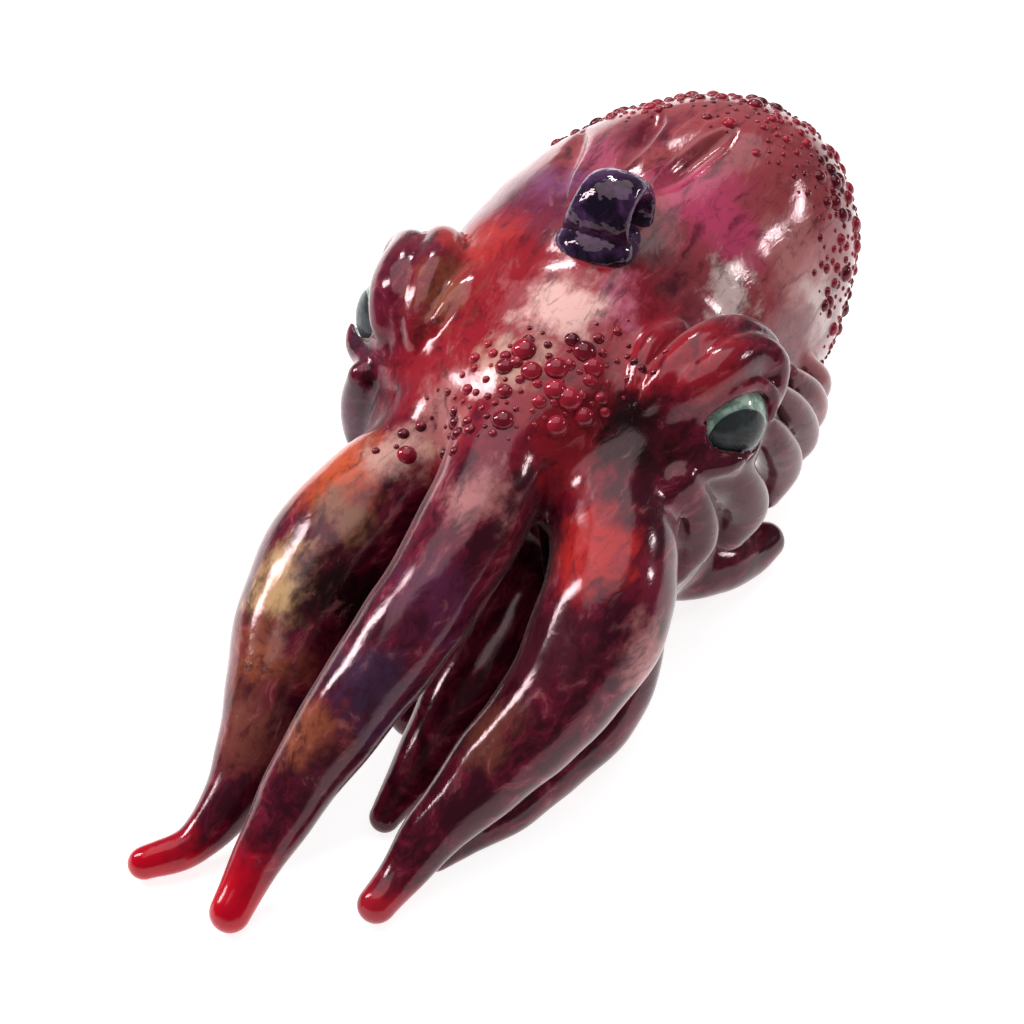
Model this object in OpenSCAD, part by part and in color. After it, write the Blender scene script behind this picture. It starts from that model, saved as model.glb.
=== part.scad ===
// Octopus ornament in hot-worked glass. It lies on its belly: the arms point towards -Y,
// the blown mantle towards +Y, and +X is the right-hand side seen from the arms' end.
// The floor that it lies on is Z = 0.

/* [Mantle] */
// Greatest radius of the blown mantle
mantle_r = 20.5; // [18:0.5:24]
// Length of the mantle from the neck joint to its rear end
mantle_len = 43; // [36:1:50]
// Thickness of the blown walls
wall = 2.5; // [1.5:0.1:3.5]
// Radius of the mouth that joins the mantle's hollow to the head's
neck_bore_r = 9; // [6:0.5:11]

/* [Head] */
// Greatest radius of the head
head_r = 19; // [17:0.5:21]
// Length of the head from the crown face, where the arms start, to the neck joint
head_len = 27; // [23:1:32]
// Radius of the flat crown face that the arms are sealed to
crown_r = 14; // [12:0.5:16]

/* [Eyes] */
// Radius of the mound that carries each eye
mound_r = 10.8; // [10:0.2:11.6]
// Radius of the cheek lobe below each eye
cheek_r = 7.5; // [6.5:0.25:8.5]
// Radius of the whole eyeball, clear cap included
eye_r = 5.2; // [4.6:0.1:5.8]
// Radius of the coloured core inside the clear cap
eye_core_r = 4.2; // [3.8:0.1:4.4]
// Radius of the dark pupil disc, measured across the eye's axis
pupil_r = 2.9; // [2:0.1:3.4]
// Thickness of the pupil disc
pupil_depth = 0.8; // [0.5:0.1:1.2]
// Thickness of the lids that wrap the eyeball
lid_t = 1.7; // [1:0.1:2.2]
// Radius of the rod that the brow is bent from
brow_rod_r = 2.8; // [2.2:0.1:3.2]
// Radius of the brow's bend, measured round the eye's axis
brow_bend_r = 8; // [7:0.1:8.4]

/* [Gills] */
// Number of gill folds on each side
gill_count = 4; // [3:1:5]
// Radius of the rod that each gill fold is laid from
gill_rod_r = 2.4; // [1.8:0.1:2.8]
// Gap between neighbouring gill folds
gill_gap = 0.2; // [0.1:0.1:0.6]

/* [Arms] */
// Reach of the longest arm, from the crown face to its tip
arm_reach = 53; // [44:1:62]
// Radius of the thickest arm at its fullest
arm_r = 8; // [6.5:0.25:9]

/* [Hanging loop] */
// Radius of the hole for the hanging cord
loop_bore_r = 2; // [1.5:0.1:2.5]
// Thickness of glass round the hole
loop_band = 3; // [2:0.1:4]
// Width of the loop across the body
loop_w = 8; // [6:0.5:10]
// Radius of the pad that the loop stands on
loop_pad_r = 4.5; // [4:0.25:5.5]

/* [Raised dots] */
// Radius of the largest dot
dot_r = 1.4; // [0.8:0.1:1.6]
// Number of dots round the mantle's rear
mantle_dots = 64; // [20:1:80]
// Number of dots on the forehead
forehead_dots = 40; // [12:1:48]

/* [Hidden] */
$fn = 64;
crown_y = -7.5;
neck_y = crown_y + head_len;
axis_z = mantle_r;

// Radius of the body of revolution at y, for the head and for the mantle.
function barrel(t, front, middle, rear) =
    t < 0 ? middle - (middle - front) * pow(-t, 2) : middle - (middle - rear) * pow(t, 2.4);
neck_r = head_r - 0.8;
function head_radius(y) = barrel((2 * y - crown_y - neck_y) / head_len, crown_r, head_r, neck_r);
belly_y = neck_y + 0.32 * mantle_len;
rear_y = neck_y + mantle_len;
function mantle_radius(y) =
    y < belly_y
    ? mantle_r - (mantle_r - neck_r) * pow((belly_y - y) / (belly_y - neck_y), 2.4)
    : mantle_r * pow(max(0, 1 - pow((y - belly_y) / (rear_y - belly_y), 2.6)), 1 / 2.2);
function body_radius(y) = y < neck_y ? head_radius(y) : mantle_radius(y);

// A point of the body's skin at y, turned by angle from the +X side towards the top.
function skin_point(y, angle) = [body_radius(y) * cos(angle), y, axis_z + body_radius(y) * sin(angle)];

// Turns a profile of [radius, y] points into a solid round the body's axis.
module turned(profile) {
    translate([0, 0, axis_z]) rotate([-90, 0, 0]) rotate_extrude($fn = 96) polygon(profile);
}

// The closed outer form of head and mantle, which cuts whatever is sealed onto them.
mantle_rings = 24;
head_rings = 16;
mantle_steps = [for (k = [0:mantle_rings]) neck_y + mantle_len * sin(90 * k / mantle_rings)];
head_steps = [for (k = [0:head_rings]) crown_y + head_len * k / head_rings];
module body_form() {
    turned(concat(
        [[0, crown_y]], [for (y = head_steps) [head_radius(y), y]],
        [for (y = mantle_steps) if (y > neck_y) [mantle_radius(y), y]]));
}

module mantle_shell() {
    color("mediumvioletred") turned(concat(
        [for (y = mantle_steps) [mantle_radius(y), y]],
        [for (k = [mantle_rings:-1:1])
            let (y = neck_y + wall + (mantle_len - 2 * wall) * sin(90 * k / mantle_rings),
                 outer_r = mantle_radius(mantle_steps[k]))
            if (outer_r > wall || k == mantle_rings) [max(0, outer_r - wall), y]],
        [[neck_bore_r, neck_y + wall], [neck_bore_r, neck_y]]));
}

// The crown face is three walls thick, because the arms are sealed to it.
crown_t = 3 * wall;
head_wall = 1.6 * wall;
hollow_rings = 8;
module head_shell() {
    hollow_front = crown_y + crown_t;
    hollow_len = head_len - crown_t - wall;
    color("firebrick") turned(concat(
        [[0, crown_y]], [for (y = head_steps) [head_radius(y), y]],
        [[neck_bore_r, neck_y], [neck_bore_r, neck_y - wall]],
        [for (k = [hollow_rings:-1:0])
            let (y = hollow_front + hollow_len * k / hollow_rings) [head_radius(y) - head_wall, y]],
        [[0, hollow_front]]));
}

// ---- eyes: drawn on the right, mirrored for the left ----
mound_y = 8;
mound_tilt = 18;
mound_sink = 5;
mound_centre = [(head_r - mound_sink) * cos(mound_tilt), mound_y, axis_z + (head_r - mound_sink) * sin(mound_tilt)];
eye_lift = 30;
eye_turn = 15;
eye_sink = 4.2;
eye_axis = [cos(eye_lift) * cos(eye_turn), -cos(eye_lift) * sin(eye_turn), sin(eye_lift)];
eye_centre = mound_centre + (mound_r - eye_sink) * eye_axis;
cap_seat = 1.4;

module on_side(side) { if (side < 0) mirror([1, 0, 0]) children(); else children(); }

// The eye's own frame: +Z out along its axis, -X towards the brow.
module eye_frame() { translate(eye_centre) rotate([0, 90 - eye_lift, -eye_turn]) children(); }

// Everything past z in the eye's frame, as far as any of its pieces go.
eye_span = 4 * eye_r;
module beyond(z) { translate([-eye_span / 2, -eye_span / 2, z]) cube(eye_span); }

module eye_mound(side) {
    color("purple") on_side(side) difference() {
        translate(mound_centre) sphere(mound_r);
        eye_frame() sphere(eye_r);
        body_form();
    }
}

cheek_y = 3;
cheek_drop = 32;
cheek_sink = 4.5;
cheek_centre =
    [(head_r - cheek_sink) * cos(cheek_drop), cheek_y, axis_z - (head_r - cheek_sink) * sin(cheek_drop)];
module cheek(side) {
    color("thistle") on_side(side) difference() {
        translate(cheek_centre) sphere(cheek_r);
        translate(mound_centre) sphere(mound_r);
        body_form();
    }
}

module pupil_form() {
    eye_frame() difference() {
        intersection() {
            sphere(eye_core_r);
            cylinder(r = pupil_r, h = eye_span);
        }
        sphere(eye_core_r - pupil_depth);
    }
}
module pupil(side) { color("darkslategray") on_side(side) pupil_form(); }

module eye_core(side) {
    color("honeydew") on_side(side) difference() {
        eye_frame() union() {
            difference() { sphere(eye_r); beyond(cap_seat); }
            sphere(eye_core_r);
        }
        pupil_form();
        body_form();
    }
}

module eye_cap(side) {
    color("lightcyan", 0.5) on_side(side) eye_frame() difference() {
        intersection() { sphere(eye_r); beyond(cap_seat); }
        sphere(eye_core_r);
    }
}

upper_lid_edge = -0.4;
lower_lid_edge = 2.6;
module lid(side, upper) {
    edge = upper ? upper_lid_edge : lower_lid_edge;
    color("maroon") on_side(side) difference() {
        eye_frame() sphere(eye_r + lid_t);
        eye_frame() sphere(eye_r);
        eye_frame() translate([upper ? edge : edge - eye_span, -eye_span / 2, -eye_span / 2]) cube(eye_span);
        translate(mound_centre) sphere(mound_r);
        body_form();
    }
}

brow_arc = 120;
brow_out = 1;
module brow(side) {
    color("crimson") on_side(side) difference() {
        eye_frame() translate([0, 0, brow_out]) rotate([0, 0, 180 - brow_arc / 2])
            rotate_extrude(angle = brow_arc) translate([brow_bend_r, 0]) circle(brow_rod_r);
        eye_frame() sphere(eye_r + lid_t);
        translate(mound_centre) sphere(mound_r);
        body_form();
    }
}

// ---- gill folds: part rings round the neck, laid side by side ----
gill_pitch = 2 * gill_rod_r + gill_gap;
gill_start_y = mound_y + 3.5;
gill_stand = 1.4;
gill_top = 8;
gill_bottom = -36;
module gill_folds() {
    for (k = [0:gill_count - 1]) {
        y = gill_start_y + k * gill_pitch;
        translate([0, 0, axis_z]) rotate([-90, 0, 0]) rotate([0, 0, -gill_top])
            rotate_extrude(angle = gill_top - gill_bottom, $fn = 96) difference() {
                translate([body_radius(y) + gill_stand, y]) circle(gill_rod_r);
                polygon(concat([[0, crown_y]], [for (q = [crown_y:1:rear_y - 1]) [body_radius(q), q]],
                    [[0, rear_y - 1]]));
            }
    }
}
module gills(side) {
    color("rosybrown") on_side(side) difference() {
        gill_folds();
        translate(mound_centre) sphere(mound_r);
        translate(cheek_centre) sphere(cheek_r);
    }
}

// ---- hanging loop ----
loop_y = neck_y + 1;
loop_sink = 2.4;
loop_r = loop_bore_r + loop_band;
loop_z = axis_z + body_radius(loop_y) + loop_r - loop_sink;
loop_round = loop_band / 2;
module loop_ring() {
    translate([0, loop_y, loop_z]) rotate([0, 90, 0]) rotate_extrude() {
        for (end = [-1, 1]) translate([loop_r - loop_round, end * (loop_w / 2 - loop_round)]) circle(loop_round);
        translate([loop_bore_r, loop_round - loop_w / 2]) square([loop_band, loop_w - 2 * loop_round]);
    }
}
module hanging_loop() {
    color("indigo") difference() { loop_ring(); body_form(); }
}
// The pad is a gather of glass pressed against the foot of the loop, on the head's side.
pad_y = loop_y - loop_r - 0.5;
pad_sink = 2.2;
module loop_pad() {
    color("midnightblue") difference() {
        translate([0, pad_y, axis_z + body_radius(pad_y) - pad_sink]) sphere(loop_pad_r);
        translate([-loop_w, loop_y, loop_z]) rotate([0, 90, 0]) cylinder(r = loop_r, h = 2 * loop_w);
        body_form();
    }
}

// ---- raised dots ----
golden = 0.618;
function fraction(v) = v - floor(v);
module dot(place, r) {
    out = place - [0, place[1], axis_z];
    slope = (body_radius(place[1] - 0.5) - body_radius(place[1] + 0.5));
    across = norm([out[0], out[2]]);
    normal = [out[0] / across, slope, out[2] / across];
    tilt = acos(normal[2] / norm(normal));
    turn = atan2(normal[1], normal[0]);
    translate(place) rotate([0, tilt, turn]) rotate_extrude($fn = 24)
        intersection() { circle(r); square(r); }
}
// Dots are laid in a spiral, so that no two rows line up; sizes run from the smallest share upwards.
mantle_dots_from = -20;
mantle_dots_arc = 220;
module mantle_dots_band() {
    first_y = neck_y + 0.52 * mantle_len;
    last_y = rear_y - 1.5;
    color("darkred") for (k = [0:mantle_dots - 1]) {
        y = first_y + (last_y - first_y) * pow((k + 0.5) / mantle_dots, 0.6);
        dot(skin_point(y, mantle_dots_from + mantle_dots_arc * fraction(k * golden)),
            dot_r * (0.6 + 0.4 * fraction(k * 0.37)));
    }
}
forehead_dots_from = 62;
forehead_dots_arc = 62;
module forehead_dots_patch() {
    first_y = crown_y + 1.5;
    last_y = crown_y + 0.62 * head_len;
    color("darkred") for (k = [0:forehead_dots - 1]) {
        y = first_y + (last_y - first_y) * (k + 0.5) / forehead_dots;
        dot(skin_point(y, forehead_dots_from + forehead_dots_arc * fraction(k * golden)),
            dot_r * (0.5 + 0.4 * fraction(k * 0.37)));
    }
}

// ---- arms ----
// Each row of an arm's run is [side, reach, lift, girth]: side as a share of head_r, reach forward
// of the crown face as a share of arm_reach, lift from 0 on the floor to 1 level with the body's
// axis and then up by shares of the head's radius, and girth as a share of arm_r.
left_upper_run = [
    [-0.42, -0.16, 1.18, 0.68], [-0.49, 0, 1.16, 0.74], [-0.59, 0.10, 1.04, 0.86], [-0.70, 0.26, 0.76, 0.95],
    [-0.68, 0.44, 0.48, 0.84], [-0.58, 0.62, 0.28, 0.62], [-0.56, 0.76, 0.14, 0.42], [-0.64, 0.88, 0.04, 0.28],
    [-0.84, 0.955, 0, 0.23]];
top_run = [
    [0.06, -0.14, 1.58, 0.70], [0.07, 0, 1.60, 0.72], [0.12, 0.14, 1.47, 0.74], [0.13, 0.32, 1.24, 0.70],
    [0.06, 0.50, 0.94, 0.65], [-0.05, 0.65, 0.64, 0.57], [-0.15, 0.79, 0.34, 0.45], [-0.21, 0.92, 0.10, 0.32],
    [-0.21, 1, 0, 0.28]];
right_upper_run = [
    [0.60, -0.16, 1.22, 0.76], [0.74, 0, 1.18, 0.84], [0.88, 0.09, 1.05, 0.88], [0.96, 0.22, 0.84, 0.86],
    [0.90, 0.38, 0.54, 0.74], [0.74, 0.54, 0.33, 0.58], [0.59, 0.69, 0.17, 0.40], [0.51, 0.78, 0.05, 0.30],
    [0.48, 0.85, 0.01, 0.26]];
right_outer_run = [
    [0.62, -0.16, 0.41, 0.60], [0.80, 0, 0.33, 0.62], [0.94, 0.10, 0.22, 0.60], [0.96, 0.22, 0.07, 0.56],
    [0.92, 0.36, 0, 0.46], [0.87, 0.50, 0, 0.36], [0.80, 0.62, 0, 0.28], [0.77, 0.70, 0, 0.24]];
right_inner_run = [
    [0.20, -0.14, 0.46, 0.58], [0.24, 0, 0.43, 0.60], [0.30, 0.14, 0.34, 0.60], [0.34, 0.32, 0.22, 0.52],
    [0.27, 0.48, 0.10, 0.38], [0.18, 0.62, 0, 0.27]];
left_inner_run = [
    [-0.32, -0.14, 0.44, 0.58], [-0.37, 0, 0.40, 0.60], [-0.33, 0.12, 0.26, 0.56], [-0.18, 0.26, 0.10, 0.45],
    [-0.05, 0.34, 0, 0.34]];
rear_run = [
    [0.45, -0.26, 0.38, 0.48], [0.80, -0.25, 0.17, 0.50], [1.00, -0.31, 0.04, 0.44], [1.10, -0.40, 0.02, 0.35],
    [1.18, -0.50, 0.10, 0.29]];

function place_of(row) =
    let (r = row[3] * arm_r)
    [row[0] * head_r, crown_y - row[1] * arm_reach,
     row[2] < 1 ? r + row[2] * (axis_z - r) : axis_z + (row[2] - 1) * (head_r - r)];
function spline(a, b, c, d, t) =
    b + 0.5 * t * (c - a) + t * t * (a - 2.5 * b + 2 * c - 0.5 * d) + t * t * t * (1.5 * (b - c) + 0.5 * (d - a));
function smooth_run(rows, steps) = [
    for (i = [0:len(rows) - 2], k = [0:steps - 1])
        spline(rows[max(0, i - 1)], rows[i], rows[i + 1], rows[min(len(rows) - 1, i + 2)], k / steps),
    rows[len(rows) - 1]];

arm_sides = 14;
arm_steps = 3;
// A pulled rod along a run of rows, with a flat root and a rounded tip.
module rod(rows, start) {
    run = smooth_run(rows, arm_steps);
    last = len(run) - 1;
    places = [for (row = run) place_of(row)];
    girths = [for (row = run) row[3] * arm_r];
    ways = [for (i = [0:last])
        let (v = i == 0 ? start : places[min(last, i + 1)] - places[i - 1]) v / norm(v)];
    tip = [for (a = [30, 60]) [places[last] + girths[last] * sin(a) * ways[last], girths[last] * cos(a)]];
    centres = concat(places, [tip[0][0], tip[1][0]]);
    radii = concat(girths, [tip[0][1], tip[1][1]]);
    headings = concat(ways, [ways[last], ways[last]]);
    rings = len(centres);
    points = concat([centres[0]],
        [for (i = [0:rings - 1])
            let (side = cross(headings[i], [0, 0, 1]), across = side / norm(side), up = cross(across, headings[i]))
            for (k = [0:arm_sides - 1])
                let (a = 360 * k / arm_sides) centres[i] + radii[i] * (cos(a) * across + sin(a) * up)],
        [places[last] + girths[last] * ways[last]]);
    end = rings * arm_sides + 1;
    polyhedron(points, concat(
        [for (k = [0:arm_sides - 1]) [0, 1 + (k + 1) % arm_sides, 1 + k]],
        [for (i = [0:rings - 2], k = [0:arm_sides - 1])
            let (a = 1 + i * arm_sides, b = a + arm_sides, n = (k + 1) % arm_sides)
            [a + k, a + n, b + n, b + k]],
        [for (k = [0:arm_sides - 1]) let (a = 1 + (rings - 1) * arm_sides) [end, a + k, a + (k + 1) % arm_sides]]));
}
// Cuts an arm back to the skin of the head, the mounds and the cheeks that it is sealed to.
module sealed() {
    difference() {
        children();
        body_form();
        for (side = [-1, 1]) on_side(side) {
            translate(mound_centre) sphere(mound_r);
            translate(cheek_centre) sphere(cheek_r);
        }
    }
}
// An arm of the crown, cut back to the arms that were laid before it.
module crown_arm(rows, laid, tint) {
    color(tint) difference() {
        sealed() rod(rows, [0, -1, 0]);
        for (other = laid) rod(other, [0, -1, 0]);
    }
}
module rear_arm(side) {
    color("maroon") on_side(side) difference() {
        sealed() rod(rear_run, [1, 0, -0.3]);
        gill_folds();
    }
}

mantle_shell();
head_shell();
eye_mound(-1);  // left_eye_mound
eye_mound(1);  // right_eye_mound
cheek(-1);  // left_cheek
cheek(1);  // right_cheek
eye_core(-1);  // left_eye_core
eye_core(1);  // right_eye_core
pupil(-1);  // left_pupil
pupil(1);  // right_pupil
eye_cap(-1);  // left_eye_cap
eye_cap(1);  // right_eye_cap
lid(-1, true);  // left_upper_lid
lid(1, true);  // right_upper_lid
lid(-1, false);  // left_lower_lid
lid(1, false);  // right_lower_lid
brow(-1);  // left_brow
brow(1);  // right_brow
gills(-1);  // left_gills
gills(1);  // right_gills
hanging_loop();
loop_pad();
mantle_dots_band();
forehead_dots_patch();
crown_arm(left_upper_run, [top_run], "saddlebrown");  // left_upper_arm
crown_arm(top_run, [], "purple");  // top_arm
crown_arm(right_upper_run, [top_run], "orangered");  // right_upper_arm
crown_arm(right_outer_run, [right_upper_run], "brown");  // right_outer_arm
crown_arm(right_inner_run, [right_upper_run, right_outer_run], "darkred");  // right_inner_arm
crown_arm(left_inner_run, [left_upper_run, right_inner_run], "darkred");  // left_inner_arm
rear_arm(1);  // right_rear_arm
rear_arm(-1);  // left_rear_arm
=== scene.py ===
"""Octopus ornament in hot-worked glass, lying on its belly. Lengths in the forms are millimetres;
the finished meshes are metres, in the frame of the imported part: arms towards -Y, mantle towards +Y."""
import bpy
import numpy as np
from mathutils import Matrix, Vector


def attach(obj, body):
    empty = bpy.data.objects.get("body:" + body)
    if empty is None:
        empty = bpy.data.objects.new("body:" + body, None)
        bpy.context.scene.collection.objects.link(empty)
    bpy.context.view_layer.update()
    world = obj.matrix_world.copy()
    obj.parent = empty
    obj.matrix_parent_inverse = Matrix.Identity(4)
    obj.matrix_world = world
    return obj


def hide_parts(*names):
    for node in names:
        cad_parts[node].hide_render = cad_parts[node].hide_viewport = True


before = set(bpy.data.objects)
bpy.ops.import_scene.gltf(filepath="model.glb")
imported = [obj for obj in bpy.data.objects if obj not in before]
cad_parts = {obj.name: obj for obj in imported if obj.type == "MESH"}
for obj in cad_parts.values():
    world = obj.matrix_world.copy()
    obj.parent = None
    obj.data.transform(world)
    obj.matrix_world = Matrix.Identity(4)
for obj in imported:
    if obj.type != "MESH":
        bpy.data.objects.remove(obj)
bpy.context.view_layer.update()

# ---------------------------------------------------------------- blown mantle and head
# The mantle and head are one bubble of magenta, violet and red glass under a clear casing, blown on
# a pipe and necked in where the head starts. The mantle swells more on its left shoulder.
MM = 0.001
AXIS_Z = 20.5
NECK_Y = 19.5
BUBBLE = [(-9.0, 0.0), (-8.6, 6.0), (-7.6, 11.0), (-5.0, 14.6), (-1.0, 16.8), (4.0, 18.2), (9.0, 18.9),
          (14.0, 18.7), (19.5, 18.4), (26.0, 19.5), (33.0, 20.4), (40.0, 20.3), (47.0, 19.0), (53.0, 16.2),
          (57.5, 12.4), (60.4, 8.0), (61.8, 3.8), (62.1, 0.0)]
SHOULDER = (-5.5, 24.0, 24.0)
SHOULDER_REACH = (16.6, 24.0, 15.0)
CROWN_SWELL = (4.8, 44.5, 26.0)
CROWN_SWELL_REACH = (13.8, 15.0, 14.3)


def smooth_curve(rows, steps):
    """Points of a curve that runs through every row, with any number of columns."""
    rows = np.array(rows, float)
    ends = np.vstack([rows[:1], rows, rows[-1:]])
    t = np.linspace(0, 1, steps, endpoint=False)[:, None]
    runs = [b + 0.5 * t * (c - a) + t ** 2 * (a - 2.5 * b + 2 * c - 0.5 * d)
            + t ** 3 * (1.5 * (b - c) + 0.5 * (d - a))
            for a, b, c, d in zip(ends, ends[1:], ends[2:], ends[3:])]
    return np.vstack(runs + [rows[-1:]])


def join(a, b, soft):
    """Two forms melted together, with a fillet of about `soft` in the corner."""
    share = np.clip(0.5 + 0.5 * (b - a) / soft, 0, 1)
    return b * (1 - share) + a * share - soft * share * (1 - share)


def carve(a, b, soft):
    """Form a with form b pressed out of it."""
    return -join(-a, b, soft)


def oval(P, centre, reach):
    q = (P - np.array(centre)) / np.array(reach)
    length = np.sqrt((q * q).sum(1))
    return (length - 1) * length / np.maximum(np.sqrt(((q / np.array(reach)) ** 2).sum(1)), 1e-6)


class Bubble:
    """Distance to a turned form, read from a table that is worked out once."""
    step = 0.25
    start = -30.0

    def __init__(self, outline):
        line = smooth_curve(outline, 8)
        line[:, 1] = np.maximum(line[:, 1], 0)
        y = np.arange(self.start, 80, self.step)
        r = np.arange(0, 44, self.step)
        Y, R = np.meshgrid(y, r, indexing="ij")
        best = np.full(Y.shape, 1e3)
        for a, b in zip(line[:-1], line[1:]):
            ab = b - a
            t = np.clip(((Y - a[0]) * ab[0] + (R - a[1]) * ab[1]) / (ab @ ab), 0, 1)
            best = np.minimum(best, np.hypot(Y - a[0] - t * ab[0], R - a[1] - t * ab[1]))
        edge = np.interp(Y, line[:, 0], line[:, 1], left=-1, right=-1)
        self.table = np.where(R < edge, -best, best)

    def __call__(self, y, r):
        u = np.clip((y - self.start) / self.step, 0, self.table.shape[0] - 1.001)
        v = np.clip(r / self.step, 0, self.table.shape[1] - 1.001)
        i, j = u.astype(int), v.astype(int)
        u, v = u - i, v - j
        T = self.table
        return ((T[i, j] * (1 - u) + T[i + 1, j] * u) * (1 - v)
                + (T[i, j + 1] * (1 - u) + T[i + 1, j + 1] * u) * v)


bubble = Bubble(BUBBLE)


def body(P):
    form = bubble(P[:, 1], np.hypot(P[:, 0], P[:, 2] - AXIS_Z))
    form = join(form, oval(P, SHOULDER, SHOULDER_REACH), 6.0)
    return join(form, oval(P, CROWN_SWELL, CROWN_SWELL_REACH), 4.0)


class Rod:
    """A pulled rod of glass. Each row of its run is x, y, z and thickness."""
    reach = 7.0

    def __init__(self, rows, steps=4):
        rows = np.array(rows, float)
        self.rows = np.vstack([rows[:1], rows, rows[-1:]])
        self.steps = steps
        self.run = smooth_curve(rows, steps)
        self.low = (self.run[:, :3] - self.run[:, 3:]).min(0) - self.reach
        self.high = (self.run[:, :3] + self.run[:, 3:]).max(0) + self.reach

    def at(self, s):
        i = np.clip(s.astype(int), 0, len(self.rows) - 4)
        t = (s - i)[:, None]
        a, b, c, d = (self.rows[i + k] for k in range(4))
        return (b + 0.5 * t * (c - a) + t ** 2 * (a - 2.5 * b + 2 * c - 0.5 * d)
                + t ** 3 * (1.5 * (b - c) + 0.5 * (d - a)))

    def measure(self, P):
        best = np.full(len(P), 1e3)
        share = np.zeros(len(P))
        for k, (a, b) in enumerate(zip(self.run[:-1], self.run[1:])):
            ab = b[:3] - a[:3]
            t = np.clip((P - a[:3]) @ ab / (ab @ ab), 0, 1)
            off = P - a[:3] - t[:, None] * ab
            d = np.sqrt((off * off).sum(1)) - (a[3] + t * (b[3] - a[3]))
            closer = d < best
            best[closer] = d[closer]
            share[closer] = (k + t[closer]) / self.steps
        for _ in range(2):
            on, ahead = self.at(share), self.at(share + 0.02)
            way = (ahead - on)[:, :3] / 0.02
            share = np.clip(share + ((P - on[:, :3]) * way).sum(1) / np.maximum((way * way).sum(1), 0.01),
                            share - 0.15, share + 0.15)
            share = np.clip(share, 0, len(self.rows) - 3)
        on = self.at(share)
        return np.sqrt(((P - on[:, :3]) ** 2).sum(1)) - on[:, 3]

    def __call__(self, P):
        out = np.full(len(P), self.reach)
        near = ((P > self.low) & (P < self.high)).all(1)
        if near.any():
            out[near] = np.minimum(self.measure(P[near]), self.reach)
        return out


# ---------------------------------------------------------------- eye mounds, brows and cheeks
# A gather of glass on each side is rounded into a mound. Rods are laid over it while it is soft and
# pushed into folds with a tungsten pick: a rolled brow, two creases behind it and a cheek below.
MOUND = ((13.3, 8.0, 24.8), (10.9, 11.2, 10.6))
CHEEK = ((13.6, 3.6, 13.6), (7.4, 8.2, 8.6))
CHEEK_FRONT = ((15.2, -1.6, 17.6), (4.2, 4.6, 8.0))
EYE = (20.2, 7.6, 28.8)
EYE_R = 5.1
brow_roll = Rod([
    (15.6, 0.2, 30.6, 1.2), (16.4, 2.2, 32.6, 1.9), (18.4, 4.4, 34.7, 2.4), (20.0, 8.4, 35.2, 2.6),
    (21.2, 12.6, 34.2, 2.6), (22.9, 14.0, 32.6, 2.3), (23.8, 12.9, 30.6, 1.7), (24.0, 11.0, 29.0, 1.1)])
thin_lid = Rod([
    (17.8, 1.4, 29.6, 0.7), (19.4, 3.2, 32.2, 1.0), (21.4, 6.2, 33.7, 1.0), (23.0, 9.8, 33.0, 1.0),
    (24.5, 11.2, 31.0, 0.8), (24.7, 10.4, 29.0, 0.6)])
second_fold = Rod([
    (13.8, 0.2, 32.6, 1.2), (14.8, 2.4, 34.2, 1.9), (15.6, 5.4, 35.2, 2.5), (16.6, 9.8, 35.3, 2.8),
    (18.2, 14.6, 34.2, 2.7), (20.2, 17.6, 31.8, 2.2), (21.2, 18.0, 29.0, 1.4)])
third_fold = Rod([
    (12.4, 1.2, 34.2, 0.8), (11.8, 4.6, 35.5, 1.3), (11.7, 8.4, 35.8, 1.4), (12.4, 12.6, 35.0, 1.0)])
lower_lid = Rod([
    (18.6, 0.6, 27.8, 0.7), (20.8, 0.9, 27.0, 1.0), (23.4, 3.2, 27.0, 1.2), (24.3, 7.4, 28.0, 1.2),
    (24.3, 10.6, 28.6, 0.8)])
petal = Rod([
    (-17.3, 1.6, 29.6, 1.5), (-18.6, 2.4, 32.0, 2.2), (-19.4, 5.2, 34.0, 2.7), (-20.4, 9.4, 34.2, 2.9),
    (-20.4, 13.2, 33.4, 2.7), (-18.6, 15.8, 33.2, 1.8)])
cheek_pad = Rod([
    (22.2, 4.2, 25.0, 1.8), (22.5, 7.2, 20.6, 2.8), (22.4, 9.2, 16.0, 3.0), (21.0, 8.6, 12.0, 2.4)])
cheek_front = Rod([
    (20.0, -1.6, 26.6, 1.6), (20.8, -0.6, 22.2, 2.3), (20.8, 0.2, 17.4, 2.5), (19.4, -0.8, 13.6, 1.8)])
cheek_crease = Rod([(20.2, -3.6, 23.4, 0.5), (21.2, -4.0, 19.6, 0.9), (21.2, -4.6, 16.0, 0.6)])


def mirrored(P):
    Q = P.copy()
    Q[:, 0] = np.abs(Q[:, 0])
    return Q


def mound(Q):
    form = join(oval(Q, *MOUND), oval(Q, *CHEEK), 3.0)
    form = join(form, oval(Q, *CHEEK_FRONT), 1.2)
    return join(join(form, cheek_front(Q), 0.8), cheek_pad(Q), 0.5)


# ---------------------------------------------------------------- gill folds
# Four short rods laid side by side round each side of the neck and half melted in.
gill_rods = [
    Rod([(21.6, 13.6, 25.0, 1.2), (22.7, 16.4, 20.4, 2.2), (22.6, 19.4, 14.6, 2.6), (21.0, 19.4, 9.6, 1.9)]),
    Rod([(21.2, 19.6, 24.4, 1.2), (22.4, 22.6, 19.6, 2.2), (22.2, 25.4, 14.2, 2.5), (20.4, 25.4, 9.8, 1.8)]),
    Rod([(20.6, 25.6, 22.6, 1.1), (21.7, 28.4, 18.2, 2.0), (21.2, 30.8, 13.6, 2.3), (19.4, 31.0, 9.8, 1.7)]),
    Rod([(19.8, 31.4, 20.4, 1.0), (20.6, 33.8, 16.4, 1.7), (19.8, 35.6, 12.8, 1.9), (18.2, 35.8, 10.2, 1.4)])]


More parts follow.
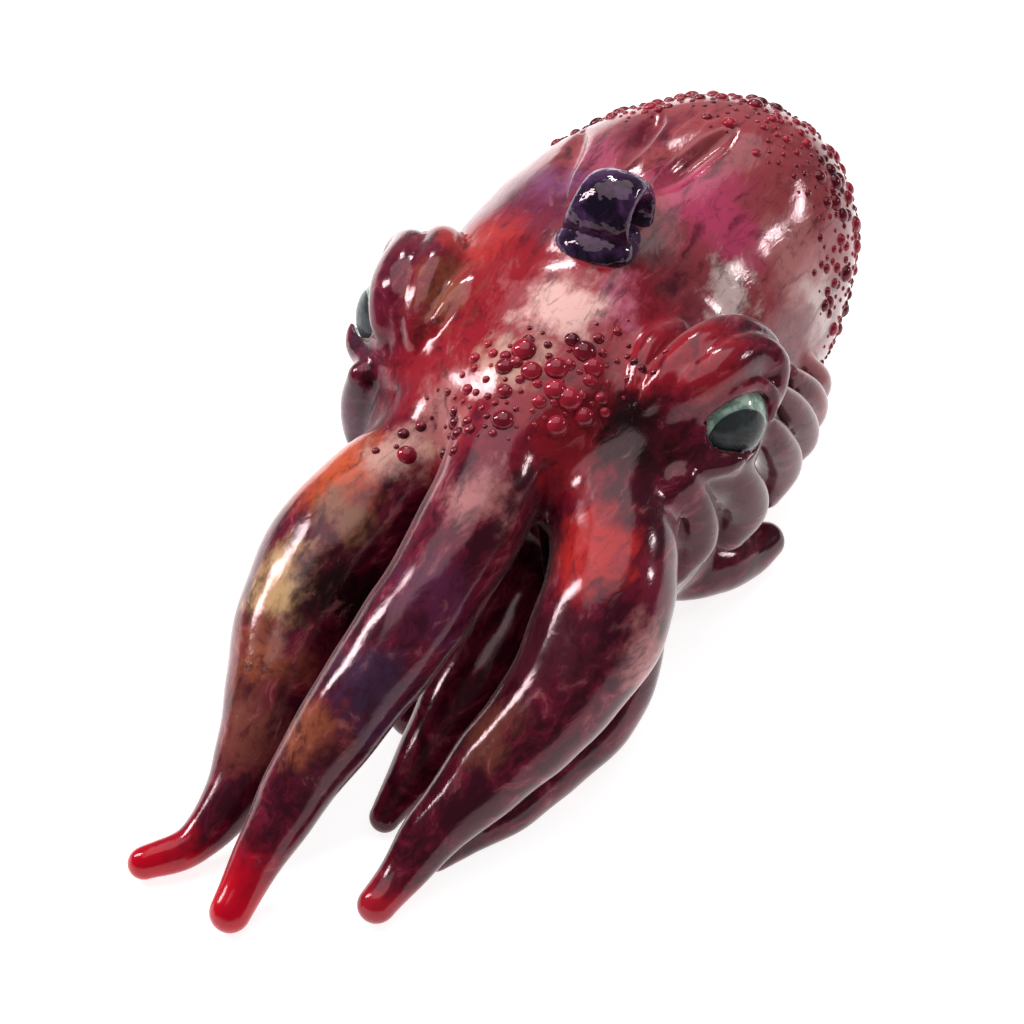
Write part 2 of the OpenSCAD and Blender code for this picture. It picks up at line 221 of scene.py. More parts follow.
# ---------------------------------------------------------------- arms
# Eight rods of wine-red glass, thick at the root and pulled to a thin tip in the flame, are fused to
# the crown and bent while soft. The tips are drawn thin in ruby glass, and their glow is painted:
# the skin emits a little red light there.
HEAD_R, CROWN_Y, ARM_REACH, ARM_R = 19.0, -7.5, 53.0, 8.0


def arm(rows):
    """Rows are the side, reach, lift and girth shares that the arm is set out with."""
    places = []
    for side, reach, lift, girth in rows:
        r = girth * ARM_R
        up = r + lift * (AXIS_Z - r) if lift < 1 else AXIS_Z + (lift - 1) * (HEAD_R - r)
        places.append((side * HEAD_R, CROWN_Y - reach * ARM_REACH, up, r))
    return Rod(places)


arms = {
    "left_upper_arm": arm([
        (-0.42, -0.16, 1.18, 0.68), (-0.49, 0, 1.16, 0.74), (-0.59, 0.10, 1.04, 0.86),
        (-0.70, 0.26, 0.76, 0.95), (-0.68, 0.44, 0.48, 0.84), (-0.58, 0.62, 0.28, 0.62),
        (-0.56, 0.76, 0.14, 0.42), (-0.64, 0.88, 0.04, 0.28), (-0.84, 0.955, 0, 0.23)]),
    "top_arm": arm([
        (0.06, -0.14, 1.58, 0.70), (0.07, 0, 1.60, 0.72), (0.12, 0.14, 1.47, 0.74), (0.13, 0.32, 1.24, 0.70),
        (0.06, 0.50, 0.94, 0.65), (-0.05, 0.65, 0.64, 0.57), (-0.15, 0.79, 0.34, 0.45),
        (-0.21, 0.92, 0.10, 0.32), (-0.21, 1, 0, 0.28)]),
    "right_upper_arm": arm([
        (0.60, -0.16, 1.22, 0.76), (0.74, 0, 1.18, 0.84), (0.88, 0.09, 1.05, 0.88),
        (0.965, 0.22, 0.84, 0.90), (0.90, 0.38, 0.54, 0.74), (0.74, 0.54, 0.33, 0.58),
        (0.59, 0.69, 0.17, 0.40), (0.51, 0.78, 0.05, 0.30), (0.48, 0.85, 0.01, 0.26)]),
    "right_outer_arm": arm([
        (0.62, -0.16, 0.41, 0.60), (0.80, 0, 0.33, 0.62), (0.94, 0.10, 0.22, 0.60), (0.96, 0.22, 0.07, 0.56),
        (0.87, 0.36, 0, 0.46), (0.79, 0.50, 0, 0.36), (0.66, 0.60, 0, 0.28), (0.57, 0.67, 0, 0.24)]),
    "right_inner_arm": arm([
        (0.20, -0.14, 0.46, 0.58), (0.24, 0, 0.45, 0.64), (0.29, 0.14, 0.38, 0.66), (0.31, 0.32, 0.27, 0.62),
        (0.25, 0.48, 0.13, 0.42), (0.18, 0.62, 0, 0.22)]),
    "left_inner_arm": arm([
        (-0.32, -0.14, 0.44, 0.58), (-0.37, 0, 0.40, 0.60), (-0.33, 0.12, 0.26, 0.56),
        (-0.18, 0.26, 0.10, 0.45), (-0.05, 0.34, 0, 0.34)]),
}
rear_arm = arm([(0.45, -0.26, 0.38, 0.48), (0.80, -0.25, 0.17, 0.50), (1.01, -0.33, 0.10, 0.43),
                (1.10, -0.41, 0.05, 0.35), (1.15, -0.485, 0.06, 0.29)])


# ---------------------------------------------------------------- creases pressed into the mantle
# Three lines are pressed into the hot bubble behind the loop with a thin blade.
def pressed(points):
    """A rod lying on top of the bubble over [x, y, radius] points."""
    rows = []
    for x, y, r in points:
        heights = np.linspace(26, 47, 400)
        line = np.column_stack([np.full(400, x), np.full(400, y), heights])
        rows.append((x, y, heights[np.nonzero(body(line) < 0)[0].max()] + 0.1, r))
    return Rod(rows)


creases = [
    pressed([(-6.8, 22.0, 0.5), (-8.6, 26.0, 1.0), (-10.2, 31.5, 1.3), (-12.2, 37.5, 1.0),
             (-13.2, 40.5, 0.4)]),
    pressed([(-3.0, 30.5, 0.5), (-3.4, 35.0, 1.2), (-4.0, 40.5, 1.1), (-4.6, 43.5, 0.4)]),
    pressed([(2.2, 28.0, 0.4), (3.2, 33.0, 1.2), (4.4, 39.0, 1.1), (5.2, 42.5, 0.4)])]


def fused(P):
    """The whole fused skin: negative inside the glass."""
    form = body(P)
    Q = mirrored(P)
    form = join(form, mound(Q), 3.0)
    for rod in gill_rods:
        form = join(form, rod(Q), 0.5)
    limbs = None
    soft = np.interp(P[:, 1], [-34.0, -13.0], [0.25, 3.2])
    for rod in arms.values():
        limbs = rod(P) if limbs is None else join(limbs, rod(P), soft)
    form = join(form, limbs, 4.5)
    form = join(form, rear_arm(Q), 1.6)
    form = join(form, third_fold(Q), 0.6)
    form = join(form, second_fold(Q), 0.4)
    form = join(form, lower_lid(Q), 1.6)
    form = carve(form, cheek_crease(Q), 0.8)
    form = carve(form, np.sqrt(((Q - np.array(EYE)) ** 2).sum(1)) - EYE_R - 0.05, 0.4)
    form = join(form, thin_lid(Q), 0.5)
    form = join(form, brow_roll(Q), 0.3)
    form = join(form, petal(P), 0.4)
    for rod in creases:
        form = carve(form, rod(P), 0.5)
    x, y, z = P.T
    return form + 0.10 * np.sin(0.55 * x + 1.3 * np.sin(0.21 * y)) * np.sin(0.47 * y + 0.4 * z + 1.0)


def lattice_surface(form, low, high, pitch):
    """Four-sided faces over the surface where the form is zero."""
    low = np.array(low, float)
    counts = np.ceil((np.array(high) - low) / pitch).astype(int) + 1
    axes = [low[i] + pitch * np.arange(counts[i]) for i in range(3)]
    value = np.empty(counts, np.float32)
    yz = np.stack(np.meshgrid(axes[1], axes[2], indexing="ij"), -1).reshape(-1, 2)
    for i, x in enumerate(axes[0]):
        value[i] = form(np.column_stack([np.full(len(yz), x), yz])).reshape(counts[1:])
    inside = value < 0
    corners = [np.array((i, j, k)) for i in (0, 1) for j in (0, 1) for k in (0, 1)]
    full = 0
    for c in corners:
        full = full + inside[tuple(slice(c[i], counts[i] - 1 + c[i]) for i in range(3))].astype(np.int8)
    cells = np.argwhere((full > 0) & (full < 8))
    index = np.full(full.shape, -1)
    index[tuple(cells.T)] = np.arange(len(cells))
    place, hits = np.zeros((len(cells), 3)), np.zeros(len(cells))
    for c in corners:
        for axis in range(3):
            if c[axis]:
                continue
            d = c.copy()
            d[axis] = 1
            a, b = value[tuple((cells + c).T)], value[tuple((cells + d).T)]
            cut = (a < 0) != (b < 0)
            point = np.tile(c, (cut.sum(), 1)).astype(float)
            point[:, axis] = a[cut] / (a[cut] - b[cut])
            place[cut] += point
            hits[cut] += 1
    verts = low + pitch * (cells + place / hits[:, None])
    quads = []
    for axis in range(3):
        u, v = np.eye(3, dtype=int)[(axis + 1) % 3], np.eye(3, dtype=int)[(axis + 2) % 3]
        first = np.take(inside, range(counts[axis] - 1), axis)
        second = np.take(inside, range(1, counts[axis]), axis)
        e = np.argwhere(first != second)
        e = e[((e > 0) | (np.arange(3) == axis)).all(1) & ((e < counts - 1) | (np.arange(3) == axis)).all(1)]
        q = np.stack([index[tuple(k.T)] for k in (e, e - u, e - u - v, e - v)], 1)
        out = first[tuple(e.T)]
        quads.append(np.where(out[:, None], q, q[:, ::-1]))
    return verts, np.concatenate(quads)


def slope(form, P, h=0.04):
    """Which way the form grows, from four points round each place."""
    corners = np.array([(1, -1, -1), (-1, -1, 1), (-1, 1, -1), (1, 1, 1)], float)
    return sum(form(P + h * c)[:, None] * c for c in corners) / (4 * h)


def settle(form, P, rounds=2):
    """Moves points onto the surface."""
    for _ in range(rounds):
        g = slope(form, P)
        P = P - np.clip(form(P) / np.maximum((g * g).sum(1), 0.2), -0.5, 0.5)[:, None] * g
    return P


AROUND = [0, 1, 1, 2, 2, 3, 3, 0]


def quartered(verts, quads):
    """Each face split in four."""
    sides = np.sort(quads[:, AROUND].reshape(-1, 2), 1)
    pairs, back = np.unique(sides, axis=0, return_inverse=True)
    n, m = len(verts), len(pairs)
    back = back.reshape(-1, 4) + n
    centre = n + m + np.arange(len(quads))
    faces = np.concatenate([np.stack([quads[:, i], back[:, i], centre, back[:, i - 1]], 1) for i in range(4)])
    return np.vstack([verts, verts[pairs].mean(1), verts[quads].mean(1)]), faces


def fire_polish(form, verts, quads, rounds=2):
    """The surface with small ripples melted out, and the way that each point faces."""
    n = len(verts)
    sides = np.unique(np.sort(quads[:, AROUND].reshape(-1, 2), 1), axis=0)
    count = np.bincount(sides.ravel(), minlength=n)[:, None]

    def mean_of_neighbours(values):
        return np.stack([np.bincount(sides[:, 0], values[sides[:, 1], i], n)
                         + np.bincount(sides[:, 1], values[sides[:, 0], i], n) for i in range(3)], 1) / count

    for _ in range(rounds):
        for _ in range(3):
            verts = verts + 0.5 * (mean_of_neighbours(verts) - verts)
        verts = settle(form, verts, 1)
    across = np.cross(verts[quads[:, 2]] - verts[quads[:, 0]], verts[quads[:, 3]] - verts[quads[:, 1]])
    facing = np.stack([np.bincount(quads.ravel(), np.repeat(across[:, i], 4), n) for i in range(3)], 1)
    facing /= np.maximum(np.sqrt((facing ** 2).sum(1)), 1e-9)[:, None]
    for _ in range(4):
        facing = facing + 0.5 * (mean_of_neighbours(facing) - facing)
    return verts, facing / np.sqrt((facing ** 2).sum(1))[:, None]


def glass_surface(form, low, high, pitch):
    verts, quads = lattice_surface(form, low, high, pitch)
    verts, quads = quartered(settle(form, verts, 1), quads)
    verts, facing = fire_polish(form, verts, quads)
    return verts, quads, facing


LOW, HIGH, SKIN_PITCH = (-26.5, -64.0, -1.5), (26.5, 64.0, 46.5), 0.9
verts, quads, normals = glass_surface(fused, LOW, HIGH, SKIN_PITCH)
BOX_LOW, BOX_HIGH = (-25.7, -62.7, 0.02), (25.7, 62.45, 46.6)
verts = np.clip(verts, BOX_LOW, BOX_HIGH)


# Each face belongs to the piece whose own form is nearest to it.
def owners(P):
    Q = mirrored(P)
    left = P[:, 0] < 0
    far = np.full(len(P), 99.0)
    shell = body(P)
    behind_neck = P[:, 1] > NECK_Y
    claims = {"mantle": np.where(behind_neck, shell, far), "head": np.where(behind_neck, far, shell)}
    for name, rod in arms.items():
        claims[name] = rod(P)
    nearest = np.minimum.reduce
    pairs = {
        "mound": oval(Q, *MOUND),
        "cheek": nearest([oval(Q, *CHEEK), oval(Q, *CHEEK_FRONT), cheek_front(Q) - 0.5, cheek_pad(Q) - 0.5]),
        "gills": nearest([rod(Q) for rod in gill_rods]) - 0.4,
        "brow": nearest([brow_roll(Q), second_fold(Q), third_fold(Q), petal(P)]) - 0.2,
        "upper_lid": thin_lid(Q) - 0.2, "lower_lid": lower_lid(Q) - 0.3, "rear_arm": rear_arm(Q)}
    for name, form in pairs.items():
        claims["left_" + name] = np.where(left, form, far)
        claims["right_" + name] = np.where(left, far, form)
    names = list(claims)
    return names, np.argmin(np.stack([claims[n] for n in names]), 0)


names, owner = owners(verts[quads].mean(1))
sides = np.sort(quads[:, AROUND].reshape(-1, 2), 1)
_, back = np.unique(sides, axis=0, return_inverse=True)
order = np.argsort(back, kind="stable")
beside = order.reshape(-1, 2) // 4
VOTING_ROUNDS, STRAY_ROUNDS = 6, 3
for _ in range(VOTING_ROUNDS):
    votes = np.zeros((len(quads), len(names)), np.int16)
    np.add.at(votes, (beside[:, 0], owner[beside[:, 1]]), 1)
    np.add.at(votes, (beside[:, 1], owner[beside[:, 0]]), 1)
    votes[np.arange(len(quads)), owner] += 1
    owner = votes.argmax(1)
same = beside[owner[beside[:, 0]] == owner[beside[:, 1]]]
patch = np.arange(len(quads))
while True:
    low = np.minimum(patch[same[:, 0]], patch[same[:, 1]])
    new = patch.copy()
    np.minimum.at(new, same[:, 0], low)
    np.minimum.at(new, same[:, 1], low)
    new = new[new]
    if (new == patch).all():
        break
    patch = new
for _ in range(STRAY_ROUNDS):
    for k in range(len(names)):
        mine = owner == k
        if not mine.any():
            continue
        ids, sizes = np.unique(patch[mine], return_counts=True)
        stray = mine & (patch != ids[sizes.argmax()])
        if stray.any():
            for a, b in ((0, 1), (1, 0)):
                edge = stray[beside[:, a]] & ~stray[beside[:, b]]
                owner[beside[edge, a]] = owner[beside[edge, b]]


LIP = 0.35


def closed_piece(name, form, verts, faces, normals):
    """A mesh object of some of the skin's faces, with each open rim closed behind."""
    used, faces = np.unique(faces, return_inverse=True)
    faces = faces.reshape(-1, 4)
    points, shade = verts[used], normals[used]
    ahead = {}
    directed = set()
    for a, b in faces[:, AROUND].reshape(-1, 2).tolist():
        directed.add((a, b))
    for a, b in directed:
        if (b, a) not in directed:
            ahead.setdefault(a, []).append(b)
    extra, rims, caps, back = [], [], [], []
    while ahead:
        start = min(ahead)
        loop = [start]
        while True:
            step = ahead[loop[-1]].pop()
            if not ahead[loop[-1]]:
                del ahead[loop[-1]]
            if step == start or step not in ahead:
                break
            loop.append(step)
        lip = points[loop] - LIP * shade[loop]
        inward = shade[loop].mean(0)
        tries = [lip.mean(0) - depth * inward for depth in (0.5, 1.5, 3.0, 5.0, 8.0)]
        heart = min(tries, key=lambda c: form(
            np.vstack([lip + t * (c - lip) for t in (0.3, 0.6, 1.0)])).max())
        first, count = len(points) + len(extra), len(loop)
        extra += list(lip) + [heart]
        for i in range(count):
            n = (i + 1) % count
            rims.append((loop[n], loop[i], first + i, first + n))
            caps.append((first + n, first + i, first + count))
        back += [-inward] * (count + 1)
    if extra:
        points = np.vstack([points, extra])
        shade = np.vstack([shade, back])
    mesh = bpy.data.meshes.new(name)
    mesh.from_pydata((points * MM).tolist(), [], faces.tolist() + rims + caps)
    mesh.validate()
    mesh.shade_smooth()
    mesh.normals_split_custom_set_from_vertices(shade.tolist())
    piece = bpy.data.objects.new(name, mesh)
    bpy.context.scene.collection.objects.link(piece)
    return piece


pieces = {}
for k, name in enumerate(names):
    if (owner == k).any():
        pieces[name] = closed_piece("glass_" + name, fused, verts, quads[owner == k], normals)


# ---------------------------------------------------------------- cased glass of the skin
# Wine, magenta and violet rods are laid side by side on the hot bubble, cased in clear and drawn
# out, so that the colours run in ragged streaks. The thin ruby tips are given a painted glow, the
# edges are made paler as a painted reflection, and some patches are painted highlights and shade.
class Sock:
    """One socket of a shader, which can be used in sums."""

    def __init__(self, tree, out):
        self.tree, self.out = tree, out

    def node(self, kind, settings, values, out=0):
        made = self.tree.nodes.new(kind)
        for key, value in settings.items():
            setattr(made, key, value)
        for key, value in values.items():
            if isinstance(value, Sock):
                self.tree.links.new(value.out, made.inputs[key])
            else:
                made.inputs[key].default_value = value
        return Sock(self.tree, made.outputs[out])

    def math(self, operation, a, b):
        return self.node("ShaderNodeMath", {"operation": operation}, {0: a, 1: b})

    def __add__(self, other): return self.math("ADD", self, other)
    def __radd__(self, other): return self.math("ADD", other, self)
    def __sub__(self, other): return self.math("SUBTRACT", self, other)
    def __rsub__(self, other): return self.math("SUBTRACT", other, self)
    def __mul__(self, other): return self.math("MULTIPLY", self, other)
    def __rmul__(self, other): return self.math("MULTIPLY", other, self)
    def __pow__(self, other): return self.math("POWER", self, other)

    def between(self, low, high):
        """0 below low, 1 above high, smooth in between."""
        return self.node("ShaderNodeMapRange", {"interpolation_type": "SMOOTHSTEP"},
                         {"Value": self, "From Min": low, "From Max": high})

    def tint(self, mask, colour):
        """This colour with another laid over it where the mask is 1."""
        return self.node("ShaderNodeMix", {"data_type": "RGBA"}, {0: mask, 6: self, 7: (*colour, 1.0)}, out=2)

    def noise(self, scale, detail=3.0, roughness=0.55, warp=0.0, out=0):
        return self.node("ShaderNodeTexNoise", {}, {"Vector": self, "Scale": scale, "Detail": detail,
                                                    "Roughness": roughness, "Distortion": warp}, out=out)

    def vector(self, operation, other, out=0):
        return self.node("ShaderNodeVectorMath", {"operation": operation}, {0: self, 1: other}, out=out)

    def scaled(self, x, y, z):
        return self.vector("MULTIPLY", (x, y, z))


def glass(name, **constants):
    """A new glossy glass: its place socket in millimetres, its shader node and its material."""
    material = bpy.data.materials.new(name)
    material.use_nodes = True
    tree = material.node_tree
    shader = tree.nodes["Principled BSDF"]
    usual = {"Roughness": 0.12, "IOR": 1.52, "Specular Tint": (0.95, 0.68, 0.72, 1.0),
             "Specular IOR Level": 0.45}
    for key, value in {**usual, **constants}.items():
        shader.inputs[key].default_value = value
    place = tree.nodes.new("ShaderNodeTexCoord")
    return Sock(tree, place.outputs["Object"]).scaled(1000, 1000, 1000), shader, material


def feed(shader, socket, value):
    shader.id_data.links.new(value.out, shader.inputs[socket])


def blended(mask, first, second):
    """The first colour where the mask is 0, the second where it is 1."""
    return mask.node("ShaderNodeMix", {"data_type": "RGBA"}, {0: mask, 6: (*first, 1), 7: (*second, 1)}, out=2)


def bumped(height, strength, distance):
    return height.node("ShaderNodeBump", {}, {"Strength": strength, "Distance": distance, "Height": height})


def rim(place):
    """1 where the surface turns edge on, 0 where it faces the eye."""
    return place.node("ShaderNodeLayerWeight", {}, {"Blend": 0.5}, out=1)


# Rods on the lampworker's bench, from the darkest to the palest. A few of these colours are
# painted light: painted highlights, painted shade and the white of a painted rim reflection.
RODS = {
    "black_cherry_and_shade": (0.01, 0.002, 0.003), "oxblood": (0.04, 0.003, 0.01), "prune": (0.07, 0.01, 0.02),
    "ink": (0.05, 0.02, 0.05), "aubergine": (0.10, 0.015, 0.05), "heather": (0.10, 0.05, 0.09),
    "plum": (0.15, 0.02, 0.05), "mauve": (0.15, 0.06, 0.07), "dark_wine": (0.16, 0.01, 0.03),
    "mahogany": (0.16, 0.04, 0.03), "violet": (0.20, 0.05, 0.13), "chestnut": (0.24, 0.06, 0.03),
    "rosewood": (0.24, 0.08, 0.09), "crimson": (0.28, 0.01, 0.02), "wine": (0.30, 0.05, 0.06),
    "amber": (0.25, 0.11, 0.06), "ruby": (0.42, 0.02, 0.02), "raspberry": (0.36, 0.06, 0.12),
    "magenta": (0.45, 0.05, 0.12), "orange": (0.50, 0.08, 0.03), "rose_and_highlight": (0.45, 0.16, 0.16),
    "orchid": (0.50, 0.13, 0.20), "painted_highlight_peach": (0.55, 0.28, 0.22), "painted_highlight_honey": (0.55, 0.33, 0.16),
    "painted_sheen_blush": (0.75, 0.42, 0.38), "milk_rose_and_highlight": (0.65, 0.48, 0.46), "painted_rim_white": (0.80, 0.60, 0.60),
    "clear_ruby": (0.40, 0.001, 0.01)}

# Colours of the fused skin: x, y, z, reach, softness and rod, laid one over another. Some of
# them are painted highlights, a painted pale rim and painted shade, each marked where it stands.
COLOURS = [
    # mantle
    (0, 44, 26, 36, 0.35, "wine"),
    (-12, 22, 38, 11, 0.6, "plum"),
    (-9, 27, 40, 6, 0.8, "violet"),
    (-7, 33, 40, 6, 0.8, "raspberry"),
    (-4, 39, 41, 6, 0.8, "dark_wine"),
    (2, 41, 41, 6, 0.8, "wine"),
    (7, 30, 39, 8, 0.7, "magenta"),
    (12, 29, 36, 6, 0.8, "magenta"),
    (12, 41, 37, 7, 0.8, "wine"),
    (17, 35, 31, 8, 0.8, "rose_and_highlight"),
    (20, 36, 25, 7, 0.8, "milk_rose_and_highlight"),
    (19, 29, 26, 6, 0.8, "rosewood"),
    # Painted highlight: a pale patch on the right of the mantle.
    (14, 23, 34, 5, 0.6, "milk_rose_and_highlight"),
    (4, 19, 39, 5, 0.8, "mauve"),
    # head
    (0, 2, 32, 20, 0.4, "crimson"),
    (-13, 15, 36, 9, 0.7, "ruby"),
    (-4, 11, 40, 6, 0.8, "crimson"),
    (6, 10, 38, 5, 0.8, "orchid"),
    # The next two are painted highlights: the pale pink and tan sheen on the forehead.
    (1, 6, 39, 6, 0.6, "painted_sheen_blush"),
    (0, -3, 37, 5, 0.8, "painted_highlight_peach"),
    (8, 3, 37, 5, 0.8, "crimson"),
    (-7, -8, 31, 6, 0.8, "rose_and_highlight"),
    (2, -11, 34, 6, 0.8, "dark_wine"),
    (9, -8, 29, 7, 0.8, "crimson"),
    (14, -3, 31, 7, 0.7, "black_cherry_and_shade"),
    (18, -9, 28, 6, 0.8, "oxblood"),
    # brows, cheeks and gills
    (17, 7, 36, 8, 0.7, "crimson"),
    (-20, 8, 32, 9, 0.7, "dark_wine"),
    (-13, 5, 35, 6, 0.7, "chestnut"),
    (21, 4, 20, 11, 0.6, "prune"),
    (21, 20, 18, 11, 0.6, "mauve"),
    (-21, 6, 21, 11, 0.6, "heather"),
    # left upper arm
    (-15, -16, 26, 8, 0.7, "orange"),
    # Painted highlight near the top of the arm.
    (-10, -13, 28, 5, 0.8, "painted_highlight_peach"),
    (-11, -22, 25, 5, 0.8, "amber"),
    # Painted highlight: the cream streak along the arm.
    (-14, -31, 21, 6, 0.8, "painted_highlight_honey"),
    (-13, -38, 16, 6, 0.8, "chestnut"),
    # Painted shade: near black on the side of the arm that faces the top arm.
    (-8, -28, 19, 7, 0.7, "black_cherry_and_shade"),
    (-11, -45, 12, 6, 0.8, "mahogany"),
    # top arm
    # Painted highlight along the upper side of the top arm.
    (4, -20, 31, 5, 0.8, "rose_and_highlight"),
    (4, -30, 26, 7, 0.8, "aubergine"),
    (2, -40, 20, 7, 0.8, "ink"),
    (-2, -46, 16, 5, 0.8, "chestnut"),
    (2, -48, 12, 6, 0.8, "prune"),
    # right upper arm
    (17, -17, 27, 8, 0.7, "ruby"),
    (23, -16, 24, 5, 0.8, "dark_wine"),
    # Painted reflection: a pale rim on the arm's outer edge.
    (25, -21, 18, 6, 0.7, "rose_and_highlight"),
    (17, -27, 21, 7, 0.8, "prune"),
    (14, -36, 16, 5, 0.8, "mahogany"),
    (15, -43, 10, 6, 0.8, "oxblood"),
]
TIPS = [(-16, -60, 2, 11, "clear_ruby"), (-4, -61, 2, 10, "clear_ruby"), (9, -53, 2, 7, "crimson")]


def skin_glass(name):
    # The emission strength drives the painted glow of the tips.
    place, shader, material = glass(name, **{"Emission Strength": 0.16})
    wander = place.noise(0.16, 4.0, out=1).vector("SUBTRACT", (0.5, 0.5, 0.5)).scaled(9, 9, 9)
    tatter = place.scaled(1.0, 0.45, 1.0).noise(0.55, 4.0, 0.6, out=1)
    tatter = tatter.vector("SUBTRACT", (0.5, 0.5, 0.5)).scaled(8, 8, 8)
    lost = place.vector("ADD", wander).vector("ADD", tatter)
    drawn_out = place.vector("ADD", wander.scaled(0.3, 0.3, 0.3)).scaled(1.0, 0.22, 1.0)
    streak = drawn_out.noise(0.5, 5.0, 0.65, 0.6)
    mottle = place.noise(0.7, 6.0, 0.7, 0.4)
    colour = blended(streak.between(0.38, 0.66), RODS["oxblood"], RODS["dark_wine"])
    for x, y, z, reach, soft, rod in COLOURS:
        far = lost.vector("DISTANCE", (x, y, z), out=1)
        colour = colour.tint(1 - far.between(reach * (1 - soft), reach), RODS[rod])
    colour = colour.tint((1 - streak.between(0.30, 0.50)) * 0.75, RODS["oxblood"])
    colour = colour.tint(streak.between(0.56, 0.74) * 0.40, RODS["rose_and_highlight"])
    colour = colour.tint((1 - mottle.between(0.36, 0.46)) * 0.30, RODS["oxblood"])
    painted_glow = None
    for x, y, z, reach, rod in TIPS:
        near = 1 - lost.vector("DISTANCE", (x, y, z), out=1).between(reach * 0.1, reach)
        colour = colour.tint(near, RODS[rod])
        painted_glow = near if painted_glow is None else painted_glow.math("MAXIMUM", painted_glow, near)
    # Painted reflection: the skin is tinted pale towards its edges as the view turns, for the white room seen
    # in the clear casing.
    colour = colour.tint((rim(place) ** 6.0) * 0.55, RODS["painted_rim_white"])
    feed(shader, "Base Color", colour)
    # Painted glow: the tips emit a little red light of their own, standing in for light let through the thin
    # glass.
    feed(shader, "Emission Color", blended(painted_glow, (0, 0, 0), (0.60, 0.0, 0.02)))
    feed(shader, "Roughness", mottle * 0.10 + 0.08)
    ripple = streak + place.noise(0.2, 2.0)
    feed(shader, "Normal", bumped(ripple, 0.12, 0.5 * MM))
    return material


skin = skin_glass("cased glass")
NODES = {"mantle": "mantle_shell", "head": "head_shell", "left_mound": "left_eye_mound",
         "right_mound": "right_eye_mound"}
for name, piece in pieces.items():
    piece.data.materials.append(skin)
    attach(piece, "root")
    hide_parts(NODES.get(name, name))

# ---------------------------------------------------------------- hanging loop
# A short thick strap of near-black amethyst glass is bent over a mandrel, which leaves the hole for
# the cord, and stuck on the neck. The gather that it stands on is pressed flat against the head.
LOOP = (20.5, 41.68)
LOOP_RUN, LOOP_HALF, LOOP_WIDE = 3.46, 1.5, 4.0


def loop_form(P):
    x, y, z = P[:, 0], P[:, 1] - LOOP[0], P[:, 2] - LOOP[1]
    round_it = np.hypot(y, z) - LOOP_RUN
    wide = LOOP_WIDE * (1 - 0.035 * np.clip(z, -4, 5))
    return LOOP_HALF * (np.hypot(round_it / LOOP_HALF, (x - 0.12 * z) / wide) - 1) * 0.8


def foot_form(P):
    return join(oval(P, (0, 16.6, 39.2), (4.6, 3.6, 2.6)), oval(P, (-0.6, 19.5, 38.2), (5.0, 5.0, 2.6)), 1.5)


def solid_piece(name, form, low, high, pitch, material, node):
    """A piece shaped from one form, given its glass and put on the ornament."""
    verts, quads, facing = glass_surface(form, low, high, pitch)
    piece = closed_piece("glass_" + name, form, verts, quads, facing)
    finish(piece, material, node)
    return piece


def finish(piece, material, node):
    piece.data.materials.append(material)
    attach(piece, "root")
    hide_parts(node)


place, shader, amethyst = glass("amethyst", **{"Roughness": 0.06})
smoke = place.noise(0.45, 4.0, 0.6, 0.5)
colour = blended(smoke.between(0.40, 0.70), (0.006, 0.003, 0.012), (0.060, 0.022, 0.075))
# Painted reflection: the loop is tinted paler violet towards its edges as the view turns.
feed(shader, "Base Color", colour.tint((rim(place) ** 3.0) * 0.6, (0.22, 0.10, 0.26)))
feed(shader, "Normal", bumped(place.noise(0.5, 2.0), 0.5, 0.6 * MM))
solid_piece("hanging_loop", loop_form, (-6, 14, 35), (6, 27, 48), 0.5, amethyst, "hanging_loop")
solid_piece("loop_pad", foot_form, (-7, 12, 34), (7, 26, 44), 0.7, amethyst, "loop_pad")


# ---------------------------------------------------------------- eyes
# Each eye is a ball of pale celadon glass with a wide blue-black pupil melted in and a clear cap
# cased over it. It is pressed into its mound before the brow is laid.
PUPIL_WAY = Vector((0.785, -0.615, -0.05)).normalized()
EYE_CORE_R = 4.86
PUPIL_IN, PUPIL_OUT = 4.4, 4.92
CAP_IN, CAP_OUT = 4.97, 5.08


def turned_piece(name, outline, centre, way, steps=64):
    """A solid turned from [distance along, radius] points round an axis."""
    turn = way.to_track_quat("Z", "Y").to_matrix()
    points, faces = [], []
    inner = outline[1:-1]
    points.append(turn @ Vector((0, 0, outline[0][0])))
    for h, r in inner:
        for k in range(steps):
            a = 2 * np.pi * k / steps
            points.append(turn @ Vector((r * np.cos(a), r * np.sin(a), h)))
    points.append(turn @ Vector((0, 0, outline[-1][0])))
    last = len(points) - 1
    for k in range(steps):
        n = (k + 1) % steps
        faces.append((0, 1 + k, 1 + n))
        faces.append((last, last - steps + n, last - steps + k))
        for i in range(len(inner) - 1):
            a = 1 + i * steps
            faces.append((a + k, a + steps + k, a + steps + n, a + n))
    mesh = bpy.data.meshes.new(name)
    mesh.from_pydata([tuple((p + Vector(centre)) * MM) for p in points], [], faces)
    mesh.shade_smooth()
    piece = bpy.data.objects.new(name, mesh)
    bpy.context.scene.collection.objects.link(piece)
    return piece


def dome(out, inner, angle, steps=24):
    """Outline of a bowl of glass from its top, over the outside and back along the inside."""
    turns = [np.radians(angle) * k / steps for k in range(steps + 1)]
    return ([(out * np.cos(a), out * np.sin(a)) for a in turns]
            + [(inner * np.cos(a), inner * np.sin(a)) for a in reversed(turns)])


